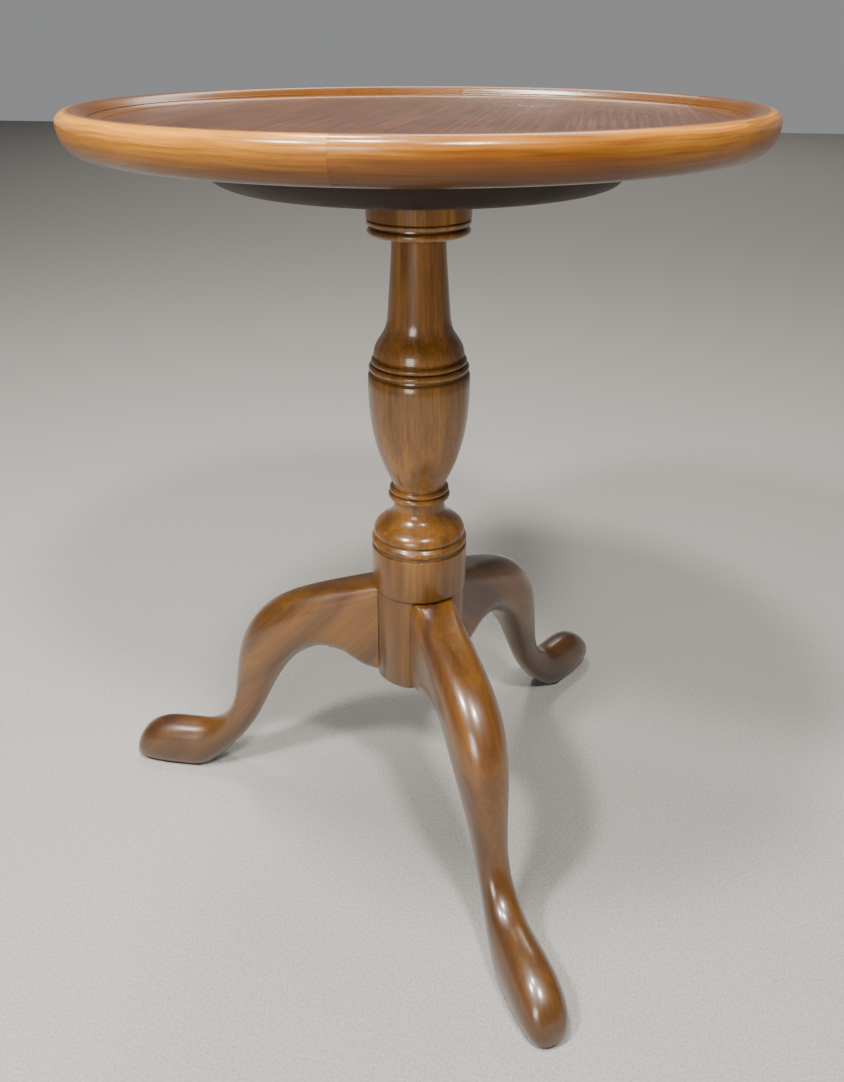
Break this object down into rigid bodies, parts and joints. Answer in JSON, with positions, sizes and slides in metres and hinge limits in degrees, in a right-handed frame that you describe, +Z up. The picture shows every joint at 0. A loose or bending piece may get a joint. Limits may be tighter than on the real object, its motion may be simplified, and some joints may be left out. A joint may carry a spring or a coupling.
{
  "type": "tilt top table",
  "caption": "Round dished top that tips upright on a turned pillar with cabriole legs and pad feet; a slide bolt locks it flat.",
  "frame": {"origin": "on the floor under the middle of the table's outer box; the pillar's axis stands 19.75 mm to its +X side", "axes": "+Z up; one leg points along -X; the top tips about an axis parallel to +Y"},
  "size_m": [0.6014, 0.5624, 0.7],
  "materials": {
    "top_wood": "polished",
    "rim_wood": "polished",
    "bearer_wood": "oiled, dark",
    "pillar_wood": "polished",
    "leg_wood": "polished",
    "sole_wood": "worn",
    "iron": "forged",
    "brass": "aged",
    "steel": "dull"
  },
  "bodies": {
    "base": {"pivot_block": "pillar_wood", "pivot_pin_front": "steel", "pivot_pin_rear": "steel", "pillar": "pillar_wood", "tenon_wedge_1": "rim_wood", "tenon_wedge_2": "rim_wood", "leg_1": "leg_wood", "foot_sole_1": "sole_wood", "iron_screw_1_inner": "steel", "iron_screw_1_outer": "steel", "leg_2": "leg_wood", "foot_sole_2": "sole_wood", "iron_screw_2_inner": "steel", "iron_screw_2_outer": "steel", "leg_3": "leg_wood", "foot_sole_3": "sole_wood", "iron_screw_3_inner": "steel", "iron_screw_3_outer": "steel", "iron_plate": "iron", "strike_plate": "brass", "strike_screw_1": "brass", "strike_screw_2": "brass"},
    "top": {"top_board": "top_wood", "rim_segment_1": "rim_wood", "rim_segment_2": "rim_wood", "rim_segment_3": "rim_wood", "rim_segment_4": "rim_wood", "rim_segment_5": "rim_wood", "rim_segment_6": "rim_wood", "bearer_front": "bearer_wood", "bearer_rear": "bearer_wood", "bearer_screw_1": "steel", "bearer_screw_2": "steel", "bearer_screw_3": "steel", "bearer_screw_4": "steel", "bearer_screw_5": "steel", "bearer_screw_6": "steel", "bolt_case": "brass", "case_screw_1": "brass", "case_screw_2": "brass", "case_screw_3": "brass", "case_screw_4": "brass"},
    "bolt": {"slide_bolt": "brass"}
  },
  "joints": [
    {"name": "top_tilt", "type": "hinge", "parent": "base", "child": "top", "pos_m": [0.07975, 0, 0.65385], "axis": [0, 1, 0], "range_deg": [0, 90]},
    {"name": "bolt_slide", "type": "slide", "parent": "top", "child": "bolt", "axis": [1, 0, 0], "range_m": [0, 0.01]}
  ]
}
